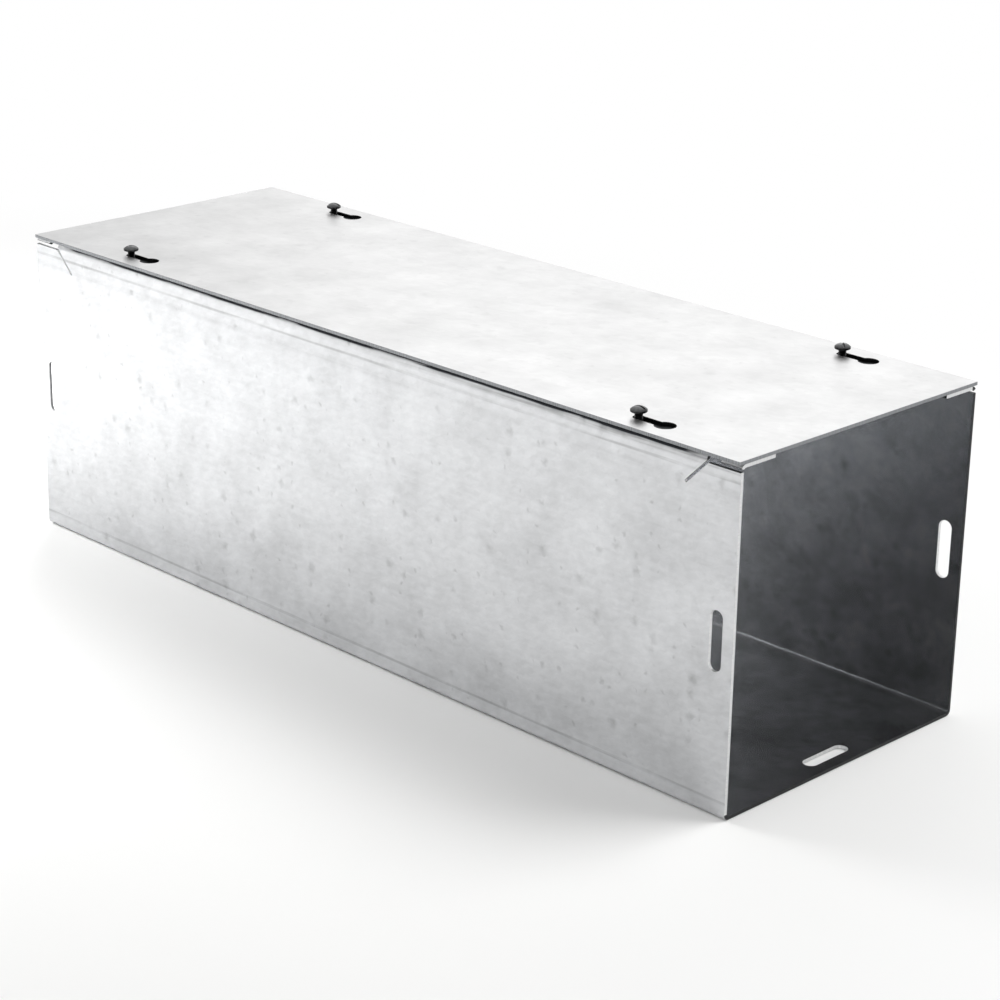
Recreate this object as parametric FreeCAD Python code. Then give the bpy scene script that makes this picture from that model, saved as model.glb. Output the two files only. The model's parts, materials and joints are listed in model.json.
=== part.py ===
import FreeCAD, Part
import os
from math import cos, radians, sin, sqrt

# A straight section of screw cover wireway: a bent sheet steel trough for cables, open at
# both ends, closed by a flat cover that hangs by keyholes on four screws.
# Frame: +X along the section, front wall at -Y, +Z up, origin at the middle of the underside.
# All sizes are millimetres.

# The section as installed, cover on
section_length = 609.6
section_height = 203.2
trough_width = 200.4
cover_overhang = 1.4

# Sheets and bends
trough_sheet = 2.0
cover_sheet = 2.0
bend_inner_radius = 1.5
flange_width = 27.0
cover_corner_radius = 1.0

# Oblong joining slots, one in each wall and one in the floor at each end
slot_length = 34.9
slot_width = 8.7
slot_from_end = 12.0

# Relief at each end of both top bends: a gap under the flange, a notch through the bend,
# and a saw slit that runs on from the notch, down the wall
relief_gap = 2.2
relief_notch_from_end = 14.2
relief_notch_length = 9.0
relief_notch_drop = 4.2
relief_notch_reach = 1.5
relief_slit_width = 1.6
relief_slit_length = 21.0
relief_slit_angle = 45.0

# Cover screws and their places
thread_diameter = 4.8
screw_length = 12.7
screw_tip_chamfer = 0.8
head_diameter = 9.5
head_height = 3.3
head_edge_height = 1.3
driver_slot_width = 1.3
driver_slot_depth = 1.5
screw_stand_off = 3.2
screw_from_end = 84.0
screw_from_side = 14.0

# Keyholes in the cover
keyhole_travel = 19.0

# Clearances
thread_clearance = 0.05
keyhole_side_clearance = 0.75
keyhole_entry_clearance = 1.25
cutter_margin = 1.0

# Sizes that follow
bend_outer_radius = bend_inner_radius + trough_sheet
trough_height = section_height - cover_sheet
half_length = section_length / 2
half_width = trough_width / 2
cover_width = trough_width + 2 * cover_overhang
head_underside = section_height + screw_stand_off
screw_across = half_width - screw_from_side
screw_along = half_length - screw_from_end

ORIGIN = FreeCAD.Vector(0, 0, 0)
ALONG_X = FreeCAD.Vector(1, 0, 0)
ALONG_Y = FreeCAD.Vector(0, 1, 0)
ALONG_Z = FreeCAD.Vector(0, 0, 1)
SIDES = {"front": -1, "back": 1}
ENDS = {"left": -1, "right": 1}


def rounded_outline(width, low, high, radius):
    """Closed outline across the section, in the YZ plane, with four round corners."""
    inset = width / 2 - radius
    top = high - radius
    bottom = low + radius
    arcs = []
    for turn, (y, z) in enumerate([(inset, top), (-inset, top), (-inset, bottom), (inset, bottom)]):
        points = []
        for angle in (90 * turn, 90 * turn + 45, 90 * turn + 90):
            reach_y = radius * cos(radians(angle))
            reach_z = radius * sin(radians(angle))
            points.append(FreeCAD.Vector(0, y + reach_y, z + reach_z))
        arcs.append(Part.Arc(*points).toShape())
    edges = []
    for arc, following in zip(arcs, arcs[1:] + arcs[:1]):
        leaves = arc.valueAt(arc.LastParameter)
        arrives = following.valueAt(following.FirstParameter)
        edges += [arc, Part.makeLine(leaves, arrives)]
    return Part.Wire(edges)


def obround_prism(length, width, depth):
    """Prism of stadium outline centred on the origin: length along X, depth along Z."""
    straight = (length - width) / 2
    corners = []
    for side_x, side_y in ((1, -1), (1, 1), (-1, 1), (-1, -1)):
        corners.append(FreeCAD.Vector(side_x * straight, side_y * width / 2, -depth / 2))
    right_tip = FreeCAD.Vector(length / 2, 0, -depth / 2)
    left_tip = FreeCAD.Vector(-length / 2, 0, -depth / 2)
    edges = [
        Part.Arc(corners[0], right_tip, corners[1]).toShape(),
        Part.makeLine(corners[1], corners[2]),
        Part.Arc(corners[2], left_tip, corners[3]).toShape(),
        Part.makeLine(corners[3], corners[0]),
    ]
    return Part.Face(Part.Wire(edges)).extrude(depth * ALONG_Z)


def at_every_corner(cutter):
    """The cutter, made for the front right corner, at all four corners of the section."""
    right = [cutter, cutter.mirror(ORIGIN, ALONG_Y)]
    left = [shape.mirror(ORIGIN, ALONG_X) for shape in right]
    return right + left


def joining_slots():
    """Cutters for the slots in the walls and the floor at both ends."""
    centre = half_length - slot_from_end
    through = trough_sheet + 2 * cutter_margin
    wall_slot = obround_prism(slot_length, slot_width, through)
    wall_slot.rotate(ORIGIN, ALONG_X, 90)
    wall_slot.rotate(ORIGIN, ALONG_Y, 90)
    wall_slot.translate(FreeCAD.Vector(centre, -half_width + trough_sheet / 2, trough_height / 2))
    floor_slot = obround_prism(slot_length, slot_width, through)
    floor_slot.rotate(ORIGIN, ALONG_Z, 90)
    floor_slot.translate(FreeCAD.Vector(centre, 0, trough_sheet / 2))
    return at_every_corner(wall_slot) + [floor_slot, floor_slot.mirror(ORIGIN, ALONG_X)]


def end_reliefs():
    """Cutters that free the end of each flange from the wall below it."""
    outside = -half_width - cutter_margin
    reach = bend_outer_radius + relief_notch_reach + cutter_margin
    notch_inner_end = half_length - relief_notch_from_end - relief_notch_length
    notch_floor = trough_height - relief_notch_drop
    gap = Part.makeBox(
        relief_notch_from_end + relief_notch_length + cutter_margin,
        reach,
        relief_gap,
        FreeCAD.Vector(notch_inner_end, outside, trough_height - trough_sheet - relief_gap),
    )
    notch = Part.makeBox(
        relief_notch_length,
        reach,
        relief_notch_drop + cutter_margin,
        FreeCAD.Vector(notch_inner_end, outside, notch_floor),
    )
    slit = obround_prism(relief_slit_length, relief_slit_width, trough_sheet + 2 * cutter_margin)
    slit.translate(FreeCAD.Vector((relief_slit_width - relief_slit_length) / 2, 0, 0))
    slit.rotate(ORIGIN, ALONG_X, 90)
    slit.rotate(ORIGIN, ALONG_Y, -relief_slit_angle)
    slit.translate(FreeCAD.Vector(notch_inner_end, -half_width + trough_sheet / 2, notch_floor))
    return at_every_corner(gap.multiFuse([notch, slit]))


def trough():
    """Floor, walls and return flanges bent from one sheet, cut at the ends."""
    outside = Part.Face(rounded_outline(trough_width, 0, trough_height, bend_outer_radius))
    inside = Part.Face(
        rounded_outline(
            trough_width - 2 * trough_sheet,
            trough_sheet,
            trough_height - trough_sheet,
            bend_inner_radius,
        )
    )
    sheet = outside.cut(inside).extrude(section_length * ALONG_X)
    sheet.translate(FreeCAD.Vector(-half_length, 0, 0))
    mouth_width = trough_width - 2 * flange_width
    mouth = Part.makeBox(
        section_length,
        mouth_width,
        trough_sheet,
        FreeCAD.Vector(-half_length, -mouth_width / 2, trough_height - trough_sheet),
    )
    tapped_hole = Part.makeCylinder(
        thread_diameter / 2 + thread_clearance,
        trough_sheet + 2 * cutter_margin,
        FreeCAD.Vector(screw_along, -screw_across, trough_height - trough_sheet - cutter_margin),
    )
    return sheet.cut([mouth] + at_every_corner(tapped_hole) + joining_slots() + end_reliefs())


def keyhole():
    """Cutter for one keyhole: its narrow end is at the origin and its entry hole along +X."""
    through = cover_sheet + 2 * cutter_margin
    neck_width = thread_diameter + 2 * keyhole_side_clearance
    neck = obround_prism(keyhole_travel + neck_width, neck_width, through)
    neck.translate(FreeCAD.Vector(keyhole_travel / 2, 0, 0))
    entry = Part.makeCylinder(
        head_diameter / 2 + keyhole_entry_clearance,
        through,
        FreeCAD.Vector(keyhole_travel, 0, -through / 2),
    )
    return neck.fuse(entry)


def cover():
    """Flat plate, a little wider than the trough, with a keyhole at each screw."""
    plate = Part.makeBox(
        section_length,
        cover_width,
        cover_sheet,
        FreeCAD.Vector(-half_length, -cover_width / 2, trough_height),
    )
    upright = [edge for edge in plate.Edges if abs(edge.tangentAt(edge.FirstParameter).z) > 0.5]
    plate = plate.makeFillet(cover_corner_radius, upright)
    keyholes = []
    for side in SIDES.values():
        for end in ENDS.values():
            cutter = keyhole()
            mid_sheet = trough_height + cover_sheet / 2
            cutter.translate(FreeCAD.Vector(end * screw_along, side * screw_across, mid_sheet))
            keyholes.append(cutter)
    return plate.cut(keyholes)


def cover_screw(end, side):
    """Pan head machine screw turned about its axis, with a driver slot across its crown."""
    shank = thread_diameter / 2
    rim = head_diameter / 2
    rim_top = head_underside + head_edge_height
    crown = head_underside + head_height
    tip = head_underside - screw_length
    crown_rise = head_height - head_edge_height
    crown_radius = (rim ** 2 + crown_rise ** 2) / (2 * crown_rise)
    half_rim_drop = crown_radius - sqrt(crown_radius ** 2 - (rim / 2) ** 2)
    axis_top = FreeCAD.Vector(0, 0, crown)
    crown_middle = FreeCAD.Vector(rim / 2, 0, crown - half_rim_drop)
    rim_edge = FreeCAD.Vector(rim, 0, rim_top)
    crown_arc = Part.Arc(axis_top, crown_middle, rim_edge).toShape()
    turned = Part.makePolygon(
        [
            rim_edge,
            FreeCAD.Vector(rim, 0, head_underside),
            FreeCAD.Vector(shank, 0, head_underside),
            FreeCAD.Vector(shank, 0, tip + screw_tip_chamfer),
            FreeCAD.Vector(shank - screw_tip_chamfer, 0, tip),
            FreeCAD.Vector(0, 0, tip),
            axis_top,
        ]
    )
    outline = Part.Face(Part.Wire([crown_arc] + turned.Edges))
    blank = outline.revolve(ORIGIN, ALONG_Z, 360)
    driver_slot = Part.makeBox(
        head_diameter + 2 * cutter_margin,
        driver_slot_width,
        driver_slot_depth + cutter_margin,
        FreeCAD.Vector(-rim - cutter_margin, -driver_slot_width / 2, crown - driver_slot_depth),
    )
    screw = blank.cut(driver_slot)
    screw.translate(FreeCAD.Vector(end * screw_along, side * screw_across, 0))
    return screw


pieces = {"trough": trough(), "cover": cover()}
for side_name, side in SIDES.items():
    for end_name, end in ENDS.items():
        pieces[f"cover_screw_{side_name}_{end_name}"] = cover_screw(end, side)

os.makedirs("parts", exist_ok=True)
for name, shape in pieces.items():
    shape.exportStep(os.path.join("parts", name + ".step"))
    print(name, shape.ShapeType, len(shape.Solids), shape.isValid(), round(shape.Volume, 1))
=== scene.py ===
import json
import bmesh
import bpy
import numpy as np
from mathutils import Matrix, Vector
from mathutils.geometry import delaunay_2d_cdt


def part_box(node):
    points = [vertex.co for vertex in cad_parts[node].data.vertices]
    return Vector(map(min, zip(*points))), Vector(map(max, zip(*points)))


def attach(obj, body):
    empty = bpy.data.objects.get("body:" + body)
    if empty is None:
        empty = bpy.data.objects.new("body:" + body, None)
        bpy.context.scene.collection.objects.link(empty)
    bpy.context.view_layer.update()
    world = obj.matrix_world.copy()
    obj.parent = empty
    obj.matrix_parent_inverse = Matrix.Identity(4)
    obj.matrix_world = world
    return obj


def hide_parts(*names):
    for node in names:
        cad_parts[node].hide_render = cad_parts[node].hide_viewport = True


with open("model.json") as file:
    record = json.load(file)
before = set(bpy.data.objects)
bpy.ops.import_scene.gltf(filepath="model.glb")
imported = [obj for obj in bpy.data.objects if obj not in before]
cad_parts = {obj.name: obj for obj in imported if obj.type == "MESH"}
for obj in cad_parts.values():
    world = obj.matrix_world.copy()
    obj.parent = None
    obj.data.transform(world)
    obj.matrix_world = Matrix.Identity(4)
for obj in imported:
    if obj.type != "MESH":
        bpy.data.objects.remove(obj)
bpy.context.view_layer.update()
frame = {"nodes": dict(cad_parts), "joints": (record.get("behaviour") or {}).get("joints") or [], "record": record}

# Trough: one sheet of galvanised steel, cut to its blank and punched while flat, then folded on a press
# brake into a floor, two walls and two flanges that turn inwards. The brake's die leaves a faint line
# beside every bend, and the sheared edges show bare steel.
MM = 0.001
trough_half_length, trough_half_width, trough_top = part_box("trough")[1]
sheet_thickness = 2.0 * MM
bend_outer = 3.5 * MM
flange_width = 27.0 * MM

bend_middle = bend_outer - sheet_thickness / 2
bend_run = np.pi / 2 * bend_middle
floor_run = trough_half_width - bend_outer
wall_run = trough_top - 2 * bend_outer
wall_foot = floor_run + bend_run
upper_bend = wall_foot + wall_run
flange_root = upper_bend + bend_run
blank_half = flange_root + flange_width - bend_outer


def fold_trough(x, s, depth):
    """Where points of the flat blank go when it is folded, their outward normal and the way across.

    s is the way across the blank from the middle of the floor, and depth the way in from the outer face.
    The sheet turns by a right angle in each bend, in step with s along the middle of its thickness, so
    the point lies bend_outer - depth from the bend's axis, and past the bend it runs on straight.
    """
    side = np.where(s < 0, -1.0, 1.0)
    way = np.abs(s)
    lower_turn = np.clip((way - floor_run) / bend_middle, 0, np.pi / 2)
    upper_turn = np.clip((way - upper_bend) / bend_middle, 0, np.pi / 2)
    sine = np.sin(lower_turn + upper_turn)
    cosine = np.cos(lower_turn + upper_turn)
    radius = bend_outer - depth
    out = np.minimum(way, floor_run) + radius * sine - np.maximum(way - flange_root, 0)
    up = bend_outer + np.clip(way - wall_foot, 0, wall_run) - radius * cosine
    none = np.zeros_like(out)
    place = np.stack([x + none, side * out, up], -1)
    return place, np.stack([none, side * sine, -cosine], -1), np.stack([none, cosine, side * sine], -1)


die_line_from_bend = 6.3 * MM
die_line_half_width = 1.2 * MM
die_line_depth = 0.03 * MM
swell_depth = 0.22 * MM
swell_skew = 0.4
swell_level = 0.5
swell_waves = ((0.3, 5.3, 1.1), (0.2, 11.0, 2.6))
die_lines = np.array([
    floor_run - die_line_from_bend,
    wall_foot + die_line_from_bend,
    upper_bend - die_line_from_bend,
    flange_root + die_line_from_bend,
])


def slow_waves(along, level, waves):
    """A level plus sine waves along a sheet, given as rows of height, rate and start."""
    for height, rate, start in waves:
        level = level + height * np.sin(rate * along + start)
    return level


def trough_dent(x, s):
    """How far the sheet lies in from flat: a slow swell in each panel, and the lines of the die.

    The swell is a squared sine across the panel, nothing at its bends, times a sum of two waves along the
    section that stays above nothing. A line is the square of a wedge that falls to 0 on either side of it.
    """
    way = np.abs(s)
    on_floor = np.cos(np.pi / 2 * np.clip(way / floor_run, 0, 1)) ** 2
    on_wall = np.sin(np.pi * np.clip((way - wall_foot) / wall_run, 0, 1)) ** 2
    along = x / trough_half_length + swell_skew * np.clip(s / floor_run, -1, 1)
    waves = slow_waves(along, swell_level, swell_waves)
    off_line = np.abs(way[..., None] - die_lines).min(-1)
    on_line = np.clip(1 - off_line / die_line_half_width, 0, 1) ** 2
    return swell_depth * (on_floor + on_wall) * waves + die_line_depth * on_line


def arc(centre, radius, start, stop, count):
    """Points on a circle from one angle to another, evenly spaced, both ends among them."""
    angle = np.linspace(start, stop, count)
    return np.asarray(centre) + radius * np.stack([np.cos(angle), np.sin(angle)], -1)


half_circle_steps = 20


def oblong_hole(centre, half_straight, radius):
    """Outline of an oblong hole, clockwise: half circles set half_straight up and down from its centre."""
    upper = arc((0, half_straight), radius, np.pi, 0, half_circle_steps + 1)
    return np.asarray(centre) + np.concatenate([upper, -upper])


def round_hole(centre, radius):
    """Outline of a round hole, clockwise, without the last point, which would be the first again."""
    return arc(centre, radius, 2 * np.pi, 0, 2 * half_circle_steps + 1)[:-1]


corner_points = 6


def eased_path(corners, step_at):
    """Closed path through corners, given as rows of x, s and easing radius.

    Each corner becomes a parabola, which leaves the straight run at the radius times the tangent of half
    the turn and meets the next run as far on. Each run is divided into steps no longer than step_at says.
    """
    points = corners[:, :2]
    arriving = points - np.roll(points, 1, 0)
    arriving = arriving / np.linalg.norm(arriving, axis=1)[:, None]
    leaving = np.roll(arriving, -1, 0)
    cosine = (arriving * leaving).sum(1)
    reach = (corners[:, 2] * np.sqrt((1 - cosine) / (1 + cosine)))[:, None]
    first = points - arriving * reach
    last = points + leaving * reach
    path = []
    for here, following in enumerate(np.roll(np.arange(len(points)), -1)):
        t = np.linspace(0, 1, corner_points if corners[here, 2] > 0 else 1)[:, None]
        path.append((1 - t) ** 2 * first[here] + 2 * t * (1 - t) * points[here] + t ** 2 * last[here])
        run = first[following] - last[here]
        steps = int(np.ceil(np.linalg.norm(run) / step_at(last[here] + run / 2)))
        path.append(last[here] + np.arange(1, steps)[:, None] / max(steps, 1) * run)
    return np.concatenate(path)


def inside(points, path):
    """Which points lie within a closed path: a ray along x from them crosses an odd count of its edges."""
    following = np.roll(path, -1, 0)
    rise = following[:, 1] - path[:, 1]
    slope = (following[:, 0] - path[:, 0]) / np.where(rise == 0, 1, rise)
    level = points[:, 1:]
    spans = (path[:, 1] > level) != (following[:, 1] > level)
    ahead = points[:, :1] < path[:, 0] + (level - path[:, 1]) * slope
    return (spans & ahead).sum(1) % 2 == 1


def between(points, paths):
    """Which points lie on the sheet: within the first path, its outline, and in none of the holes after."""
    within = inside(points, paths[0])
    for hole in paths[1:]:
        within &= ~inside(points, hole)
    return within


def into_sheet(path):
    """Unit vectors from a path into the sheet on its left, square to the chord of a point's neighbours."""
    chord = np.roll(path, -1, 0) - np.roll(path, 1, 0)
    square = np.stack([-chord[:, 1], chord[:, 0]], -1)
    return square / np.linalg.norm(square, axis=1)[:, None]


edge_ease = 0.2 * MM
edge_turns = np.radians([30, 60, 90, 90, 60, 30])[:, None]
edge_facing = np.array([1, 1, 1, -1, -1, -1])[:, None]
lattice_clearance = 0.75 * MM
merge_distance = 1e-9
inner_face_shift = 0.9
slope_nudge = 0.1 * MM
# Material slots: faces, holes' edges, outline's edge, and outline's edge painted dark as shade
on_faces, on_hole_edges, on_outline, on_shaded_outline = range(4)


def sheared_sheet(name, paths, crossings, fold, dent, edge_finish, materials):
    """A piece of sheet metal from its flat pattern: the outline and the holes, as paths of x and s.

    The area between the paths is divided into triangles through the lattice's crossings, and fold puts it
    in place twice, as outer and inner face. Round each path an edge joins the faces: a quarter round of
    edge_ease, the flat shear and another quarter round, carried along the path. The UV map is the flat
    pattern in metres, with the inner face moved along x by inner_face_shift, so that a material can tell
    it. materials are those of the faces, the holes' edges and the outline's edge, for which edge_finish
    gives on_outline, or for a dark edge painted as shade, on_shaded_outline, at points of the outline.
    """
    eased = [path + edge_ease * into_sheet(path) for path in paths]
    clear = [path + lattice_clearance * into_sheet(path) for path in paths]
    flat = np.concatenate(eased + [crossings[between(crossings, clear)]])
    starts = np.cumsum([0] + [len(path) for path in eased])
    rims = [np.arange(start, stop) for start, stop in zip(starts, starts[1:])]
    rim_edges = np.concatenate([np.stack([rim, np.roll(rim, -1)], -1) for rim in rims])
    only_inside = 1
    corners = [Vector(point) for point in flat]
    made = delaunay_2d_cdt(corners, rim_edges.tolist(), [], only_inside, merge_distance)
    flat = np.array(made[0])
    triangles = np.array(made[2])
    triangles = triangles[between(flat[triangles].mean(1), eased)]

    def placed(points, depth):
        """Folded places, outward normals turned by the slope of the dent, and the way across."""
        x, s = points[..., 0], points[..., 1]
        place, normal, across = fold(x, s, depth + dent(x, s))
        slope_along = (dent(x + slope_nudge, s) - dent(x - slope_nudge, s)) / (2 * slope_nudge)
        slope_across = (dent(x, s + slope_nudge) - dent(x, s - slope_nudge)) / (2 * slope_nudge)
        normal[..., 0] += slope_along
        return place, normal + slope_across[..., None] * across, across

    outer, outer_normal, _ = placed(flat, 0.0)
    inner, inner_normal, _ = placed(flat, sheet_thickness)
    places, normals, flats = [outer, inner], [outer_normal, -inner_normal], [flat, flat]
    quads = []
    count = 2 * len(flat)
    for path, rim in zip(paths, rims):
        inward = into_sheet(path)
        ring = path + edge_ease * (1 - np.sin(edge_turns))[..., None] * inward
        ease = edge_ease * (1 - np.cos(edge_turns))
        depth = np.where(edge_facing > 0, ease, sheet_thickness - ease)
        place, normal, across = placed(ring, depth)
        outward = -inward[:, 1:] * across
        outward[..., 0] -= inward[:, 0]
        normal = (edge_facing * np.cos(edge_turns))[..., None] * normal
        normal = normal + np.sin(edge_turns)[..., None] * outward
        places.append(place.reshape(-1, 3))
        normals.append(normal.reshape(-1, 3))
        flats.append(ring.reshape(-1, 2))
        shear = count + np.arange(len(edge_turns) * len(path)).reshape(len(edge_turns), -1)
        count += shear.size
        rings = np.concatenate([rim[None], shear, rim[None] + len(flat)])
        following = np.roll(rings, -1, 1)
        quads.append(np.stack([rings[:-1], following[:-1], following[1:], rings[1:]], -1).reshape(-1, 4))

    both_faces = np.concatenate([triangles[:, ::-1], triangles + len(flat)])
    faces = both_faces.tolist() + np.concatenate(quads).tolist()
    along_outline = (paths[0] + np.roll(paths[0], -1, 0)) / 2
    finish = [np.full(2 * len(triangles), on_faces)]
    finish += [np.tile(edge_finish(along_outline), len(edge_turns) + 1)]
    finish += [np.full(len(hole), on_hole_edges) for hole in quads[1:]]
    mesh = bpy.data.meshes.new(name)
    mesh.from_pydata(np.concatenate(places), [], faces)
    mesh.polygons.foreach_set("material_index", np.concatenate(finish).astype(np.int32))
    mesh.polygons.foreach_set("use_smooth", np.ones(len(faces), bool))
    corner_vertices = np.empty(len(mesh.loops), np.int32)
    mesh.loops.foreach_get("vertex_index", corner_vertices)
    pattern = np.concatenate(flats)[corner_vertices]
    pattern[triangles.size:2 * triangles.size, 0] += inner_face_shift
    layer = mesh.uv_layers.new(name="blank")
    layer.uv.foreach_set("vector", pattern.astype(np.float32).ravel())
    for material in materials:
        mesh.materials.append(material)
    normals = np.concatenate(normals)
    normals = normals / np.linalg.norm(normals, axis=1)[:, None]
    mesh.normals_split_custom_set_from_vertices(normals.tolist())
    piece = bpy.data.objects.new(name, mesh)
    bpy.context.scene.collection.objects.link(piece)
    return piece


def linear(hex_colour):
    """Linear RGBA of an sRGB hex colour: the sRGB curve undone, with full cover."""
    encoded = np.array([int(hex_colour[i:i + 2], 16) for i in (1, 3, 5)]) / 255
    decoded = np.where(encoded <= 0.04045, encoded / 12.92, ((encoded + 0.055) / 1.055) ** 2.4)
    return (*decoded, 1.0)


def add(tree, kind, inputs=(), **settings):
    """A node of that kind with its settings, its inputs linked to sockets or nodes or set to values."""
    node = tree.nodes.new("ShaderNode" + kind)
    for setting, value in settings.items():
        setattr(node, setting, value)
    for key, value in dict(inputs).items():
        if isinstance(value, bpy.types.Node):
            value = value.outputs[0]
        if isinstance(value, bpy.types.NodeSocket):
            tree.links.new(value, node.inputs[key])
        else:
            node.inputs[key].default_value = value
    return node


def empty_material(name):
    """A new material and its node tree, with no nodes in it yet."""
    material = bpy.data.materials.new(name)
    material.use_nodes = True
    material.node_tree.nodes.clear()
    return material, material.node_tree


# Hot-dip galvanised steel, temper rolled: satin zinc grey to the eye, faintly cloudy, with crystals that
# hardly show, short slanting scuffs and ragged specks of dross. The inner face is glossier, and is painted a
# shade darker as painted shade inside the trough. Along the lines of the die the zinc is scraped dull, and
# under the keyholes the flange is painted dark as painted shade. The rolled grain is really finer, and is
# drawn so coarse as to show.
cloud_size = 45.0 * MM
crystal_size = 6.0 * MM
scuff_length, scuff_width, scuff_slope = 9.0 * MM, 3.2 * MM, np.radians(-17)
streak_length, streak_width = 70.0 * MM, 2.5 * MM
rag_size, rag_reach = 4.0 * MM, 3.5 * MM
grain_size = 0.9 * MM
relief_depth = 0.005 * MM
band_growth = 350.0 * MM
band_end = 15.0 * MM
mean_tone, middle_stop = 0.53, 0.6
# The inner face's tone is lowered a little: painted shade inside the trough
crystal_tone, inner_shade_tone = 0.02, -0.01
streak_share = 0.4
speck_patterns = ((14.0 * MM, 0.70), (6.5 * MM, 0.86))
smallest_speck, largest_speck = -0.10, 0.20
speck_inside, speck_outside = -0.18, 0.16
band_strength_low, band_strength_high, least_band_strength = 0.38, 0.60, 0.25
satin_base, cloud_roughness, crystal_roughness, inner_roughness = 0.32, 0.10, 0.03, -0.15
facet_tilt = 0.005
speck_relief, scuff_relief = -5.0, 20.0


def galvanised_steel(name, colours, clouding, scuffing, bands):
    """Material of a galvanised sheet in dark, middle and light zinc colours, so much clouded and scuffed.

    A tone picks the colour: the mean and weighted patterns, with bands along the sheet on top, some of them
    marks in the zinc and some painted shade and highlight. bands are rows of way across from the middle, half
    width, fade beyond that, which face (0 outer, 1 inner), how much lighter or darker the zinc is there, the x
    from which the band comes in, and how far from the middle of the section it stops.
    """
    material, tree = empty_material(name)
    blank = add(tree, "UVMap", uv_map="blank")
    spot = add(tree, "SeparateXYZ", {0: blank})
    way = add(tree, "Math", {0: spot.outputs[1]}, operation="ABSOLUTE")
    way_along = add(tree, "Math", {0: spot.outputs[0]}, operation="ABSOLUTE")
    inner = add(tree, "Math", {0: spot.outputs[0], 1: inner_face_shift / 2}, operation="GREATER_THAN")
    outer = add(tree, "Math", {0: 1.0, 1: inner}, operation="SUBTRACT")
    clouds = add(tree, "TexNoise", {"Vector": blank, "Scale": 1 / cloud_size, "Detail": 4.0,
                                    "Roughness": 0.6}, noise_dimensions="2D")
    crystals = add(tree, "TexVoronoi", {"Vector": blank, "Scale": 1 / crystal_size},
                   voronoi_dimensions="2D")
    crystal = add(tree, "SeparateColor", {0: crystals.outputs["Color"]})
    rags = add(tree, "TexNoise", {"Vector": blank, "Scale": 1 / rag_size, "Detail": 1.0},
               noise_dimensions="2D")
    ragged = add(tree, "VectorMath", {0: rags.outputs["Color"], 1: (rag_reach, rag_reach, 0), 2: blank},
                 operation="MULTIPLY_ADD")
    slanted = add(tree, "Mapping", {"Vector": ragged, "Rotation": (0, 0, scuff_slope),
                                    "Scale": (scuff_length, scuff_width, 1.0)}, vector_type="TEXTURE")
    scuffs = add(tree, "TexNoise", {"Vector": slanted, "Scale": 1.0, "Detail": 3.0}, noise_dimensions="2D")
    along = add(tree, "Mapping", {"Vector": blank, "Scale": (streak_length, streak_width, 1.0)},
                vector_type="TEXTURE")
    streaks = add(tree, "TexNoise", {"Vector": along, "Scale": 1.0, "Detail": 3.0}, noise_dimensions="2D")
    # Specks of dross: in the cells of two patterns, those with the highest random values hold a speck,
    # which is as large as its cell's value lies above the bound
    specks = []
    for speck_spacing, bound in speck_patterns:
        cells = add(tree, "TexVoronoi", {"Vector": ragged, "Scale": 1 / speck_spacing},
                    voronoi_dimensions="2D")
        chance = add(tree, "SeparateColor", {0: cells.outputs["Color"]})
        size = add(tree, "MapRange", {0: chance, 1: bound, 2: 1.0, 3: smallest_speck, 4: largest_speck},
                   clamp=False)
        gap = add(tree, "Math", {0: cells, 1: size}, operation="SUBTRACT")
        specks.append(add(tree, "MapRange", {0: gap, 1: speck_inside, 2: speck_outside, 3: 1.0, 4: 0.0},
                          interpolation_type="SMOOTHSTEP"))
    speckle = add(tree, "Math", {0: specks[0], 1: specks[1]}, operation="MAXIMUM")
    patterns = [
        (clouds, clouding),
        (crystal, crystal_tone),
        (scuffs, scuffing),
        (streaks, streak_share * scuffing),
    ]
    tone = mean_tone - sum(weight for _, weight in patterns) / 2
    for pattern, weight in patterns + [(speckle, -scuffing), (inner, inner_shade_tone)]:
        tone = add(tree, "Math", {0: pattern, 1: weight, 2: tone}, operation="MULTIPLY_ADD")
    # How strongly each band shows, patchy along the streaks: the die lines and the painted shade and highlight
    # alike
    band_strength = add(tree, "MapRange", {0: streaks, 1: band_strength_low, 2: band_strength_high, 3: least_band_strength, 4: 1.0})
    for middle, half_width, fade, face, weight, begins, stops in bands:
        off = add(tree, "Math", {0: way, 1: middle}, operation="SUBTRACT")
        off = add(tree, "Math", {0: off}, operation="ABSOLUTE")
        band = add(tree, "MapRange", {0: off, 1: half_width, 2: half_width + fade, 3: weight, 4: 0.0},
                   interpolation_type="SMOOTHSTEP")
        band = add(tree, "Math", {0: band, 1: inner if face else outer}, operation="MULTIPLY")
        grown = add(tree, "MapRange", {0: spot.outputs[0], 1: begins, 2: begins + band_growth})
        band = add(tree, "Math", {0: band, 1: grown}, operation="MULTIPLY")
        kept = add(tree, "MapRange", {0: way_along, 1: stops, 2: stops + band_end, 3: 1.0, 4: 0.0})
        band = add(tree, "Math", {0: band, 1: kept}, operation="MULTIPLY")
        tone = add(tree, "Math", {0: band, 1: band_strength, 2: tone}, operation="MULTIPLY_ADD")
    zinc = add(tree, "ValToRGB", {0: tone})
    zinc.color_ramp.elements.new(middle_stop)
    for stop, colour in zip(zinc.color_ramp.elements, colours):
        stop.color = linear(colour)
    satin = satin_base
    for pattern, weight in (
        (clouds, cloud_roughness),
        (crystal.outputs[1], crystal_roughness),
        (inner, inner_roughness),
    ):
        satin = add(tree, "Math", {0: pattern, 1: weight, 2: satin}, operation="MULTIPLY_ADD")
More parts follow.
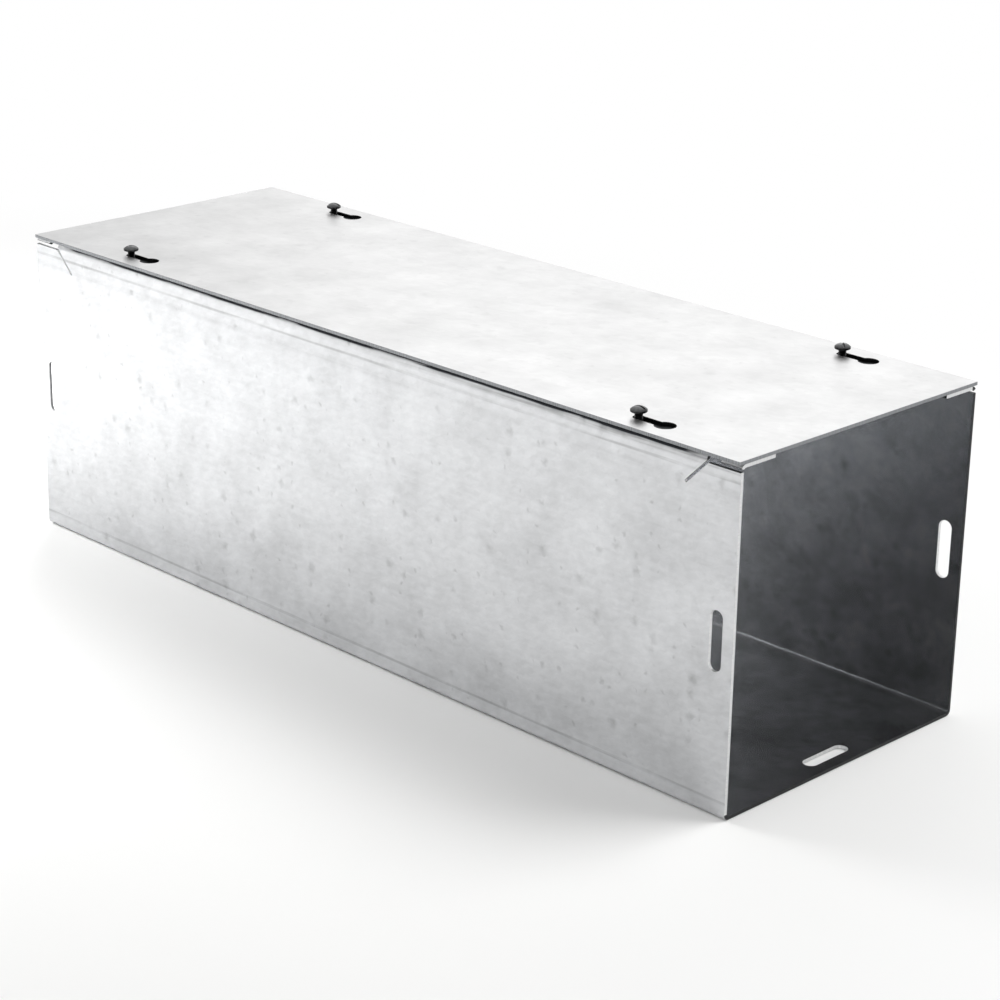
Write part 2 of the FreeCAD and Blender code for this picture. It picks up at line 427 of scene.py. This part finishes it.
    # Each crystal's face leans a little its own way, as a normal map whose level is one half
    tilts = {2: 1.0}
    for channel in (0, 1):
        tilts[channel] = add(tree, "MapRange", {0: crystal.outputs[channel + 1], 3: 0.5 - facet_tilt,
                                                4: 0.5 + facet_tilt})
    tilt = add(tree, "CombineColor", tilts)
    facets = add(tree, "NormalMap", {"Color": tilt}, uv_map="blank")
    relief = add(tree, "TexNoise", {"Vector": blank, "Scale": 1 / grain_size, "Detail": 3.0},
                 noise_dimensions="2D")
    for pattern, weight in ((speckle, speck_relief * scuffing), (scuffs, scuff_relief * scuffing)):
        relief = add(tree, "Math", {0: pattern, 1: weight, 2: relief}, operation="MULTIPLY_ADD")
    surface = add(tree, "Bump", {"Height": relief, "Distance": relief_depth, "Normal": facets})
    steel = add(tree, "BsdfPrincipled", {"Base Color": zinc, "Metallic": 1.0, "Roughness": satin,
                                         "Normal": surface})
    add(tree, "OutputMaterial", {0: steel})
    return material


# Sheared steel edge: bare grey steel, burnished by the blade and torn in fine lines across the thickness,
# which are drawn coarser than they are, so as to show
tear_size = 0.8 * MM
tear_depth, tear_strength = 0.008 * MM, 0.6
torn_below, burnished_above = 0.3, 0.7
smoothest_shear, roughest_shear = 0.32, 0.5


def sheared_steel(name, torn_colour, burnished_colour):
    """Material of a sheared edge, from its torn to its burnished colour."""
    material, tree = empty_material(name)
    blank = add(tree, "UVMap", uv_map="blank")
    tears = add(tree, "TexNoise", {"Vector": blank, "Scale": 1 / tear_size, "Detail": 4.0},
                noise_dimensions="2D")
    grey = add(tree, "ValToRGB", {0: tears})
    stops = ((torn_below, torn_colour), (burnished_above, burnished_colour))
    for stop, (position, colour) in zip(grey.color_ramp.elements, stops):
        stop.position = position
        stop.color = linear(colour)
    rough = add(tree, "MapRange", {0: tears, 3: smoothest_shear, 4: roughest_shear})
    torn = add(tree, "Bump", {"Height": tears, "Distance": tear_depth, "Strength": tear_strength})
    steel = add(tree, "BsdfPrincipled", {"Base Color": grey, "Metallic": 1.0, "Roughness": rough,
                                         "Normal": torn})
    add(tree, "OutputMaterial", {0: steel})
    return material


# Relief at both ends of the top bends: a gap under the flange's end, a notch through the bend and, from the
# notch down the wall at half a right angle, a saw slit
relief_gap_high = trough_top - sheet_thickness
relief_notch_near = 14.2 * MM
relief_notch_far = 23.2 * MM
relief_notch_drop = 4.2 * MM
relief_notch_past_bend = 1.5 * MM
relief_slit_half_width = 0.8 * MM
relief_slit_length = 20.2 * MM
corner_ease = 0.4 * MM
tip_ease = 0.95 * relief_slit_half_width

bend_axis_height = trough_top - bend_outer
gap_high = upper_bend + bend_middle * np.arcsin((relief_gap_high - bend_axis_height) / bend_outer)
notch_low = upper_bend + bend_outer - relief_notch_drop
notch_high = flange_root + relief_notch_past_bend
slit_run = relief_slit_length / np.sqrt(2)
slit_aside = relief_slit_half_width / np.sqrt(2)
slit_end = relief_notch_far + slit_run
slit_low = notch_low - slit_run
# A quarter of the blank's outline, as rows of way in from the end, way across and easing radius: from the
# middle of the floor's end, round the relief at the top bend, to the middle of the flange's free edge
quarter = np.array([
    (0, 0, 0),
    (0, floor_run, 0),
    (0, wall_foot, 0),
    (0, notch_low, corner_ease),
    (relief_notch_far - 2 * slit_aside, notch_low, corner_ease),
    (slit_end - slit_aside, slit_low - slit_aside, tip_ease),
    (slit_end + slit_aside, slit_low + slit_aside, tip_ease),
    (relief_notch_far, notch_low + 2 * slit_aside, corner_ease),
    (relief_notch_far, notch_high, corner_ease),
    (relief_notch_near, notch_high, corner_ease),
    (relief_notch_near, gap_high, corner_ease),
    (0, gap_high, corner_ease),
    (0, flange_root, 0),
    (0, blank_half, corner_ease),
    (trough_half_length, blank_half, 0),
])
quarter[:, 0] = trough_half_length - quarter[:, 0]
outline = np.concatenate([
    quarter,
    (quarter * (-1, 1, 1))[-2::-1],
    (quarter * (-1, -1, 1))[1:],
    (quarter * (1, -1, 1))[-2:0:-1],
])
bend_step, flat_step = 0.5 * MM, 6.0 * MM


def trough_step(point):
    """Longest step of the outline at a point: short in the bends, which turn it, and long on the flats."""
    way = abs(point[1])
    in_bend = floor_run < way < wall_foot or upper_bend < way < flange_root
    return bend_step if in_bend else flat_step


def spaced(start, stop, step):
    """Evenly spaced values from start to stop, no further apart than step."""
    return np.linspace(start, stop, int(np.ceil((stop - start) / step)) + 1)


def lattice(columns, rows):
    """Points of x and s where columns and rows cross."""
    return np.stack(np.meshgrid(columns, rows), -1).reshape(-1, 2)


screw_nodes = [name for name in frame["nodes"] if name.startswith("cover_screw")]
screw_axes = {name: (sum(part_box(name), Vector()) / 2).xy for name in screw_nodes}
screw_hole_radius = 2.45 * MM
# A wall's joining slot lies on its side of the blank, and the floor's, whose axis has no y, in the middle
trough_paths = [eased_path(outline, trough_step)]
for mount in frame["record"]["mounts"]:
    if mount["name"].startswith("joining_slot"):
        slot_radius = mount["dims"]["hole_r_mm"] * MM
        slot_half_straight = mount["dims"]["slot_length_mm"] * MM / 2 - slot_radius
        x, _, z = mount["pos_m"]
        slot_centre = (x, mount["axis"][1] * (wall_foot + z - bend_outer))
        trough_paths.append(oblong_hole(slot_centre, slot_half_straight, slot_radius))
for x, y in screw_axes.values():
    way = flange_root + floor_run - abs(y)
    trough_paths.append(round_hole((x, np.sign(y) * way), screw_hole_radius))
lattice_step = 9.0 * MM
rows_in_die_line = 5
half_rows = np.concatenate([
    spaced(0, floor_run, lattice_step),
    spaced(floor_run, wall_foot, bend_step),
    spaced(wall_foot, upper_bend, lattice_step),
    spaced(upper_bend, flange_root, bend_step),
    spaced(flange_root, blank_half, lattice_step),
    (die_lines[:, None] + np.linspace(-1, 1, rows_in_die_line) * die_line_half_width).ravel(),
])
trough_rows = np.unique(np.concatenate([-half_rows, half_rows]).round(7))
trough_columns = spaced(-trough_half_length, trough_half_length, lattice_step)
burnished_edge = sheared_steel("burnished_sheared_edge", "#d0d1d2", "#e6e6e6")
# A near-black sheared edge: painted shade on the edges chosen as unlit
shaded_edge = sheared_steel("dark_shaded_edge", "#232425", "#454647")


def trough_edge_finish(path):
    """Bare bright steel at the ends of the front wall and of the flanges and in the sawn slits; elsewhere, at
    the other ends, round the relief's notch and gap and along the flanges' free edges, a dark edge as painted
    shade.
    """
    at_end = np.abs(path[:, 0]) > trough_half_length - corner_ease
    bright_at_end = (path[:, 1] < -wall_foot) | (path[:, 1] > flange_root)
    sawn = np.abs(path[:, 1]) < notch_low - corner_ease
    return np.where(np.where(at_end, bright_at_end, sawn), on_outline, on_shaded_outline)


outer_face, inner_face = 0, 1
all_along = -trough_half_length - band_growth
# Where the painted shade on the top bend starts to grow in
bend_shade_from = -100.0 * MM
to_both_ends = trough_half_length + inner_face_shift
# How far from the middle the painted shade on the flange top reaches
flange_shade_stops = 262.0 * MM
# Scraped along the lines of the die, and a faint darker line below the top bend. Painted shade on the top
# bend, growing towards the right, for the shadow under the cover's edge; painted shade on the flange round
# the keyholes; and a painted highlight on the inside of both bends
trough_bands = [(way, 0.3 * MM, 1.0 * MM, outer_face, -0.16, all_along, to_both_ends) for way in die_lines]
trough_bands += [
    # A faint darker line 13.5 mm below the top bend
    (upper_bend - 13.5 * MM, 0.5 * MM, 3.0 * MM, outer_face, -0.05, all_along, to_both_ends),
    # Painted shade along the top bend, darker towards the right: the shadow under the cover's edge
    (upper_bend + 1.0 * MM, 1.5 * MM, 2.8 * MM, outer_face, -0.34, bend_shade_from, to_both_ends),
    # Painted shade: the flange top under the cover, made dark so that the keyholes look dark
    (upper_bend + 21.0 * MM, 18.5 * MM, 2.0 * MM, outer_face, -3.0, all_along, flange_shade_stops),
]
# Painted highlight: the inner face of both bends made lighter
trough_bands += [
    (bend + bend_run / 2, bend_run / 2, 1.0 * MM, inner_face, 0.20, all_along, to_both_ends)
    for bend in (floor_run, upper_bend)
]
sheet_clouding = 0.22
trough_scuffing = 0.12
trough_zinc = galvanised_steel("hot_dip_galvanised_trough", ("#2d2f32", "#dbdcde", "#e9eaeb"),
                               sheet_clouding, trough_scuffing, trough_bands)
trough_finishes = [trough_zinc, burnished_edge, burnished_edge, shaded_edge]
trough = sheared_sheet("folded_trough", trough_paths, lattice(trough_columns, trough_rows), fold_trough,
                       trough_dent, trough_edge_finish, trough_finishes)
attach(trough, "trough")
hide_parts("trough")

# Cover: a flat plate sheared from the same galvanised sheet, a little wider than the trough and as long.
# It lies on the flanges and hangs on the screws by four punched keyholes, whose wide ends let the heads
# through.
cover_half_length, cover_half_width, cover_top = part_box("cover")[1]
cover_corner_ease = 1.0 * MM
keyhole_neck_radius = 3.15 * MM
keyhole_entry_radius = 6.0 * MM
keyhole_travel = -frame["joints"][0]["range_m"][0]
entry_points, neck_points = 37, 17
cover_sag = 0.3 * MM
sag_level = 0.55
sag_waves = ((0.3, 4.1, 0.4), (0.15, 9.7, 2.0))
cover_scuffing = 0.04


def lay_cover(x, s, depth):
    """Places on the flat cover, whose s runs from its back to its front: depth counts down from its top."""
    none = np.zeros_like(x + s + depth)
    place = np.stack([x + none, none - s, cover_top - depth], -1)
    return place, np.stack([none, none, none + 1], -1), np.stack([none, none - 1, none], -1)


def cover_dent(x, s):
    """How far the cover sags between the flanges: a flat-topped bump across, times a slow wave along."""
    clear_half_width = trough_half_width - flange_width
    across = np.clip(1 - (s / clear_half_width) ** 2, 0, 1) ** 2
    return cover_sag * across * slow_waves(x / cover_half_length, sag_level, sag_waves)


def keyhole(centre):
    """Outline of a keyhole, clockwise: a half circle round the screw's place, two straight sides, and the
    entry circle set keyhole_travel along x, from where the sides meet it.
    """
    meeting = np.arcsin(keyhole_neck_radius / keyhole_entry_radius)
    entry = arc((keyhole_travel, 0), keyhole_entry_radius, np.pi - meeting, meeting - np.pi,
                entry_points)
    neck = arc((0, 0), keyhole_neck_radius, 1.5 * np.pi, 0.5 * np.pi, neck_points)
    return np.asarray(centre) + np.concatenate([entry, neck])


cover_corners = np.array([(1, -1), (1, 1), (-1, 1), (-1, -1)]) * (cover_half_length, cover_half_width)
cover_corners = np.column_stack([cover_corners, np.full(4, cover_corner_ease)])
cover_paths = [eased_path(cover_corners, lambda point: flat_step)]
cover_paths += [keyhole((x, -y)) for x, y in screw_axes.values()]
cover_lattice = lattice(spaced(-cover_half_length, cover_half_length, lattice_step),
                        spaced(-cover_half_width, cover_half_width, lattice_step))
# The cover's edge is a darker grey than the trough's bare edges, and the keyholes' walls are near black: painted
# shade on both
shaded_cover_edge = sheared_steel("shaded_cover_sheared_edge", "#77797c", "#9d9fa1")
keyhole_shade_edge = sheared_steel("dark_keyhole_shade_edge", "#1a1b1c", "#303132")
cover_zinc = galvanised_steel("hot_dip_galvanised_cover", ("#2f2f2f", "#dcdcdc", "#eaeaea"),
                              sheet_clouding, cover_scuffing, [])
cover = sheared_sheet("screw_cover", cover_paths, cover_lattice, lay_cover, cover_dent,
                      lambda path: np.full(len(path), on_outline), [cover_zinc, keyhole_shade_edge, shaded_cover_edge])
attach(cover, "cover")
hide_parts("cover")

# Cover screws: pan head machine screws of zinc plated steel, with rolled threads and sawn driver slots.
# They stand in tapped holes of the flanges, backed out so that the cover can slide under them.
thread_radius = 2.4 * MM
thread_depth = 0.45 * MM
thread_pitch = 0.794 * MM
thread_flank, thread_crest = 1.3, 0.15
rings_in_pitch = 10
screw_length = 12.7 * MM
tip_chamfer = 0.8 * MM
head_radius = 4.75 * MM
head_height = 3.3 * MM
head_edge_height = 1.3 * MM
head_edge_ease = 0.25 * MM
driver_slot_half_width = 0.65 * MM
driver_slot_depth = 1.5 * MM
rows_beside_slot, rows_in_slot, crown_columns = 10, 5, 15
sharp_angle = np.radians(35)
screw_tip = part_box(screw_nodes[0])[0].z
head_underside = screw_tip + screw_length

slot_wall = np.arcsin(driver_slot_half_width / head_radius)
below_slot = np.linspace(-np.pi / 2, -slot_wall, rows_beside_slot)
across_slot = np.linspace(-slot_wall, slot_wall, rows_in_slot)
crown_angles = np.concatenate([below_slot, across_slot, -below_slot[::-1]])
in_slot = np.repeat([False, True, False], [rows_beside_slot, rows_in_slot, rows_beside_slot])


def screw_crown():
    """Top of the screw's head, over rows across the driver slot and columns along each row's chord.

    A row at angle a lies at the sine of a times the head's radius, and its chord is the cosine long. The
    height is a ball's cap over the head's edge, cut down to the slot's floor in the rows of the slot.
    """
    y = head_radius * np.sin(crown_angles)[:, None]
    x = head_radius * np.cos(crown_angles)[:, None] * np.linspace(-1, 1, crown_columns)
    rise = head_height - head_edge_height
    ball = (head_radius ** 2 + rise ** 2) / (2 * rise)
    z = head_height - ball + np.sqrt(ball ** 2 - x ** 2 - y ** 2)
    z = np.where(in_slot[:, None], np.minimum(z, head_height - driver_slot_depth), z)
    return np.stack([x, y + 0 * x, head_underside + z], -1)


def screw_sides():
    """All below the head's crown, over rings from the tip up and angles that end on the crown's rows.

    On the shank the radius follows the thread: a blunt triangle wave of the height in pitches less the
    angle in turns. The tip is held within a cone, and above the shank come the head's underside and edge.
    """
    angle = np.concatenate([crown_angles, np.pi - crown_angles[::-1]])
    height = spaced(0, screw_length, thread_pitch / rings_in_pitch)[:, None]
    phase = (height / thread_pitch - angle / (2 * np.pi)) % 1
    groove = np.clip(np.abs(2 * phase - 1) * thread_flank - thread_crest, 0, 1)
    shank = np.minimum(thread_radius - thread_depth * groove, thread_radius - tip_chamfer + height)
    head = np.array([
        (head_radius - head_edge_ease, screw_length),
        (head_radius, screw_length + head_edge_ease),
        (head_radius, screw_length + head_edge_height),
    ])
    radius = np.concatenate([0 * angle[None], shank, head[:, :1] + 0 * angle])
    height = np.concatenate([[[0]], height, head[:, 1:]]) + 0 * angle
    return np.stack([radius * np.cos(angle), radius * np.sin(angle), screw_tip + height], -1)


def grid_faces(rows, columns, first, closed):
    """Quads of a grid of points numbered row by row from first, joined round its columns if closed."""
    number = first + np.arange(rows * columns).reshape(rows, columns)
    if closed:
        number = np.concatenate([number, number[:, :1]], 1)
    return np.stack([number[:-1, :-1], number[:-1, 1:], number[1:, 1:], number[1:, :-1]], -1).reshape(-1, 4)


# Zinc plate on steel, dulled with handling: a thin smooth grey coat, a little clouded. The crown is painted
# lighter and the thread and the head's edge darker, as painted light and shade by height
plate_cloud_size = 1.8 * MM
plate_clouding, crown_painted_light = 0.6, 0.6
plate_stops = ((0.25, "#19191a"), (0.95, "#7c7d7e"))
smoothest_plate, roughest_plate = 0.25, 0.42
zinc_plate, tree = empty_material("dulled_zinc_plate")
place = add(tree, "TexCoord").outputs["Object"]
plate_clouds = add(tree, "TexNoise", {"Vector": place, "Scale": 1 / plate_cloud_size, "Detail": 4.0})
spot = add(tree, "SeparateXYZ", {0: place})
# Lighter up the head: painted light on the crown and painted shade below it
height_light = add(tree, "MapRange", {0: spot.outputs[2], 1: head_underside + head_edge_height / 2,
                                 2: head_underside + head_height, 3: 0.0, 4: crown_painted_light})
lightness = add(tree, "Math", {0: plate_clouds, 1: plate_clouding, 2: height_light}, operation="MULTIPLY_ADD")
silver = add(tree, "ValToRGB", {0: lightness})
for stop, (position, colour) in zip(silver.color_ramp.elements, plate_stops):
    stop.position = position
    stop.color = linear(colour)
gloss = add(tree, "MapRange", {0: plate_clouds, 3: smoothest_plate, 4: roughest_plate})
plate = add(tree, "BsdfPrincipled", {"Base Color": silver, "Metallic": 1.0, "Roughness": gloss})
add(tree, "OutputMaterial", {0: plate})

driver_angles = np.radians([25, -38, 64, 8])
seam_tolerance = 0.001 * MM
crown, sides = screw_crown(), screw_sides()
screw_points = np.concatenate([sides.reshape(-1, 3), crown.reshape(-1, 3)])
screw_faces = np.concatenate([
    grid_faces(*sides.shape[:2], 0, True),
    grid_faces(*crown.shape[:2], sides[..., 0].size, False),
])
for name, driver_angle in zip(screw_nodes, driver_angles):
    turned = screw_points.copy()
    turned[:, 0] = screw_points[:, 0] * np.cos(driver_angle) - screw_points[:, 1] * np.sin(driver_angle)
    turned[:, 1] = screw_points[:, 0] * np.sin(driver_angle) + screw_points[:, 1] * np.cos(driver_angle)
    turned[:, :2] += screw_axes[name]
    screw_mesh = bpy.data.meshes.new("zinc_" + name)
    screw_mesh.from_pydata(turned, [], screw_faces.tolist())
    shell = bmesh.new()
    shell.from_mesh(screw_mesh)
    bmesh.ops.remove_doubles(shell, verts=shell.verts, dist=seam_tolerance)
    shell.to_mesh(screw_mesh)
    shell.free()
    screw_mesh.polygons.foreach_set("use_smooth", np.ones(len(screw_mesh.polygons), bool))
    screw_mesh.set_sharp_from_angle(angle=sharp_angle)
    screw_mesh.materials.append(zinc_plate)
    screw = bpy.data.objects.new("zinc_" + name, screw_mesh)
    bpy.context.scene.collection.objects.link(screw)
    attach(screw, "trough")
    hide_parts(name)

# Studio: a pale floor under the section, white all round, a large lamp above and one on the left that only
# light the floor, for the walls to mirror, a weak one far behind on the left, which the cover mirrors, a
# small low one that shines in at the left end, and the camera at the photograph's place.
floor_half = 4.0
floor_drop = 0.3 * MM
floor_corners = np.array([(-1, -1, 0), (1, -1, 0), (1, 1, 0), (-1, 1, 0)]) * floor_half
floor_mesh = bpy.data.meshes.new("studio_floor")
floor_mesh.from_pydata(floor_corners - (0, 0, floor_drop), [], [(0, 1, 2, 3)])
floor = bpy.data.objects.new("studio_floor", floor_mesh)
bpy.context.scene.collection.objects.link(floor)


def seen_directly(tree):
    """1 for a ray from the camera, off metal or through a clear piece, and 0 for one that only lights."""
    ray = add(tree, "LightPath")
    seen = ray.outputs["Is Camera Ray"]
    for kind in ("Is Glossy Ray", "Is Transmission Ray"):
        seen = add(tree, "Math", {0: seen, 1: ray.outputs[kind]}, operation="MAXIMUM")
    return seen


# White floor paint, matt: it takes the light and the shadow round the section, and further away it fades
# into plain white, to the eye and in the metal
shaded_middle = (-0.25, -0.3, 0)
shaded_reach, white_beyond = 0.5, 1.1
floor_paint, tree = empty_material("white_floor_paint")
place = add(tree, "TexCoord").outputs["Object"]
away = add(tree, "VectorMath", {0: place, 1: shaded_middle}, operation="DISTANCE")
far = add(tree, "MapRange", {0: away.outputs["Value"], 1: shaded_reach, 2: white_beyond},
          interpolation_type="SMOOTHSTEP")
fade = add(tree, "Math", {0: far, 1: seen_directly(tree)}, operation="MULTIPLY")
paint = add(tree, "BsdfDiffuse", {"Color": linear("#f4f4f3")})
white = add(tree, "Emission", {"Color": (1, 1, 1, 1), "Strength": 1.0})
mixed = add(tree, "MixShader", {0: fade, 1: paint, 2: white})
add(tree, "OutputMaterial", {0: mixed})
floor_mesh.materials.append(floor_paint)

room_light = 0.38
world = bpy.data.worlds.new("white_studio")
bpy.context.scene.world = world
world.use_nodes = True
tree = world.node_tree
tree.nodes.clear()
strength = add(tree, "MapRange", {0: seen_directly(tree), 3: room_light, 4: 1.0})
sky = add(tree, "Background", {"Color": (1, 1, 1, 1), "Strength": strength})
add(tree, "OutputWorld", {0: sky})


def soft_lamp(name, place, target, size, power, mirrored=True):
    """A square area lamp at a place, turned to face the target, which metal mirrors or not."""
    light = bpy.data.lights.new(name, "AREA")
    light.shape = "SQUARE"
    light.size = size
    light.energy = power
    lamp = bpy.data.objects.new(name, light)
    lamp.location = place
    lamp.rotation_euler = (Vector(target) - Vector(place)).to_track_quat("-Z", "Y").to_euler()
    lamp.visible_glossy = mirrored
    bpy.context.scene.collection.objects.link(lamp)


section_middle = (0, 0, 0.1)
left_floor = (-0.25, -0.2, 0)
left_mouth = (-0.25, -0.02, 0.07)
soft_lamp("key_lamp", (0.8, 0.9, 2.1), section_middle, size=1.2, power=38.0, mirrored=False)
soft_lamp("back_lamp", (-1.35, 1.7, 1.6), section_middle, size=1.4, power=4.8)
soft_lamp("floor_lamp", (-0.85, -0.35, 0.45), left_floor, size=0.5, power=7.0, mirrored=False)
soft_lamp("end_lamp", (-0.58, 0.2, 0.11), left_mouth, size=0.18, power=1.2)

camera_azimuth, camera_elevation, camera_roll = np.radians([45.077, 20.151, 0.966])
camera_target = Vector((40.55, -9.34, 88.24)) * MM
camera_distance = 1625.6 * MM
focal_length, sensor_width = 95.95, 36.0
back = Vector((np.sin(camera_azimuth) * np.cos(camera_elevation),
               -np.cos(camera_azimuth) * np.cos(camera_elevation), np.sin(camera_elevation)))
level_right = Vector((np.cos(camera_azimuth), np.sin(camera_azimuth), 0))
level_up = back.cross(level_right)
right = np.cos(camera_roll) * level_right + np.sin(camera_roll) * level_up
up = np.cos(camera_roll) * level_up - np.sin(camera_roll) * level_right
view = bpy.data.cameras.new("photograph_view")
view.lens = focal_length
view.sensor_width = sensor_width
camera = bpy.data.objects.new("photograph_view", view)
camera.matrix_world = Matrix.LocRotScale(camera_target + camera_distance * back,
                                         Matrix((right, up, back)).transposed(), None)
bpy.context.scene.collection.objects.link(camera)
bpy.context.scene.camera = camera
bpy.context.scene.view_settings.view_transform = "Standard"
